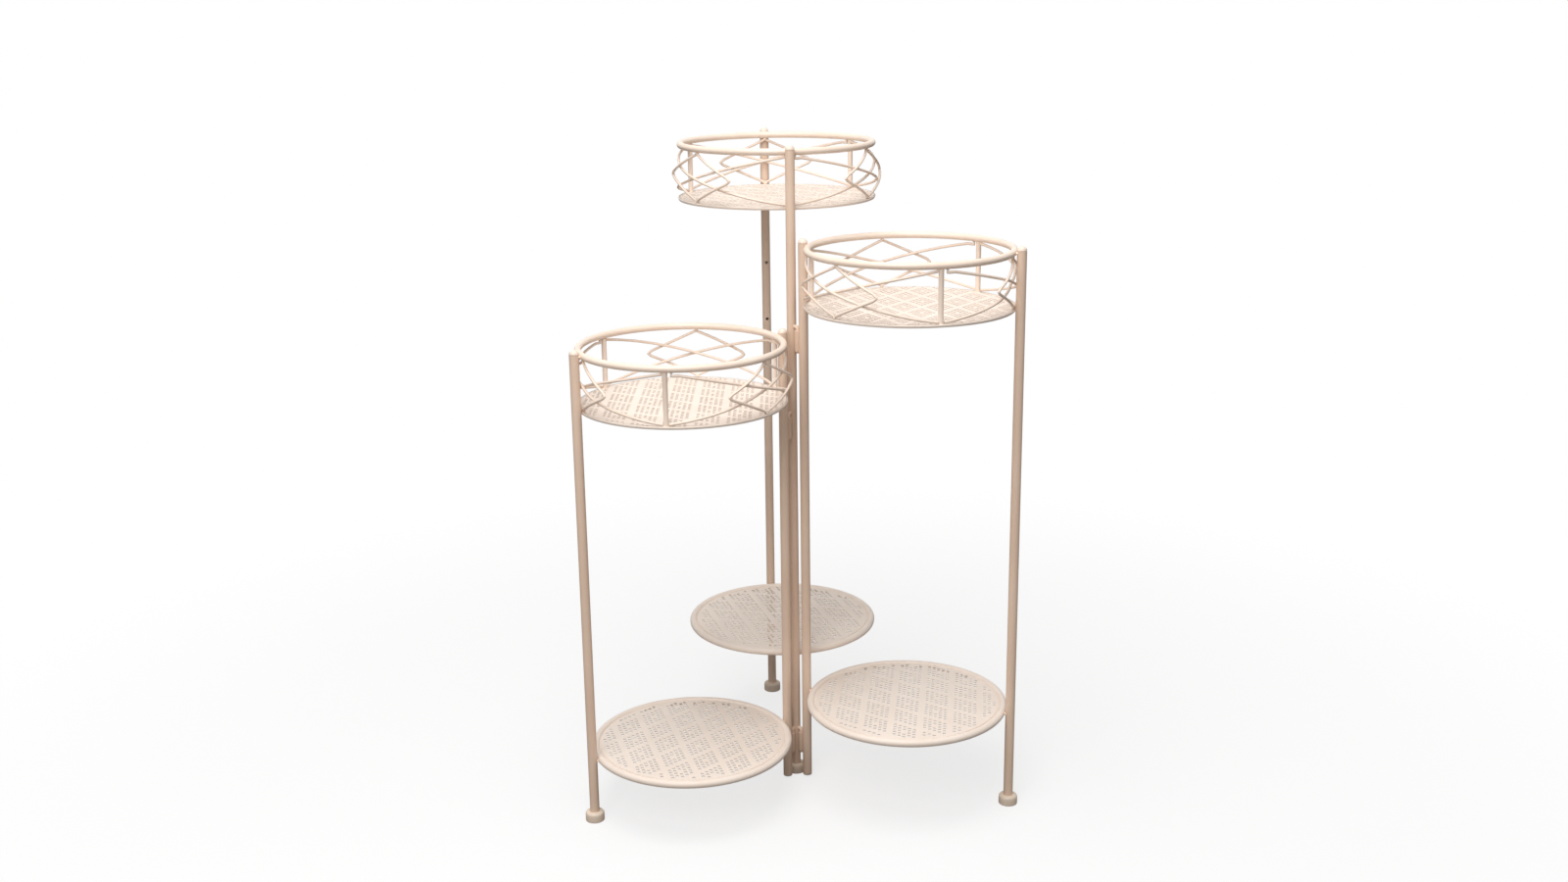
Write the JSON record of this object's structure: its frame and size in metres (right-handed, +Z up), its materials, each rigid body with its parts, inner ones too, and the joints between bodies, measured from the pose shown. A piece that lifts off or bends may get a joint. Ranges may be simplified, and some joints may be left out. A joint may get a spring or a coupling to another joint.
{
  "type": "tiered plant stand",
  "caption": "Folding metal plant stand with staggered round baskets and round shelves on slim posts, with wings hinged on a common post.",
  "frame": {"origin": "on the ground under the hinge post, at the middle of its foot", "axes": "+Z up, +Y from the hinge post to the back post, +X to the right as seen from the front"},
  "size_m": [0.514, 0.4497, 0.771],
  "materials": {
    "powder_coat": "satin powder coat",
    "foot_plastic": "matte"
  },
  "bodies": {
    "centre_frame": {"high_back_post": "powder_coat", "high_basket_bars": "powder_coat", "high_basket_cross_wires": "powder_coat", "high_basket_diamonds": "powder_coat", "high_basket_floor": "powder_coat", "high_basket_ring": "powder_coat", "high_caps": "powder_coat", "high_edge_welds": "powder_coat", "high_feet": "foot_plastic", "high_shelf_tray": "powder_coat", "hinge_post": "powder_coat", "low_wing_hinge_pins": "powder_coat", "mid_wing_hinge_pins": "powder_coat"},
    "low_wing": {"low_wing_basket_bars": "powder_coat", "low_wing_basket_cross_wires": "powder_coat", "low_wing_basket_diamonds": "powder_coat", "low_wing_basket_floor": "powder_coat", "low_wing_basket_ring": "powder_coat", "low_wing_caps": "powder_coat", "low_wing_edge_welds": "powder_coat", "low_wing_feet": "foot_plastic", "low_wing_hinge_sleeves": "powder_coat", "low_wing_inner_post": "powder_coat", "low_wing_outer_post": "powder_coat", "low_wing_shelf_tray": "powder_coat"},
    "mid_wing": {"mid_wing_basket_bars": "powder_coat", "mid_wing_basket_cross_wires": "powder_coat", "mid_wing_basket_diamonds": "powder_coat", "mid_wing_basket_floor": "powder_coat", "mid_wing_basket_ring": "powder_coat", "mid_wing_caps": "powder_coat", "mid_wing_edge_welds": "powder_coat", "mid_wing_feet": "foot_plastic", "mid_wing_hinge_sleeves": "powder_coat", "mid_wing_inner_post": "powder_coat", "mid_wing_outer_post": "powder_coat", "mid_wing_shelf_tray": "powder_coat"}
  },
  "joints": [
    {"name": "low_wing_fold", "type": "hinge", "parent": "centre_frame", "child": "low_wing", "pos_m": [-0.00602, -0.0086, 0], "axis": [0, 0, 1], "range_deg": [-54, 30]},
    {"name": "mid_wing_fold", "type": "hinge", "parent": "centre_frame", "child": "mid_wing", "pos_m": [0.00602, -0.0086, 0], "axis": [0, 0, 1], "range_deg": [-30, 58]}
  ]
}
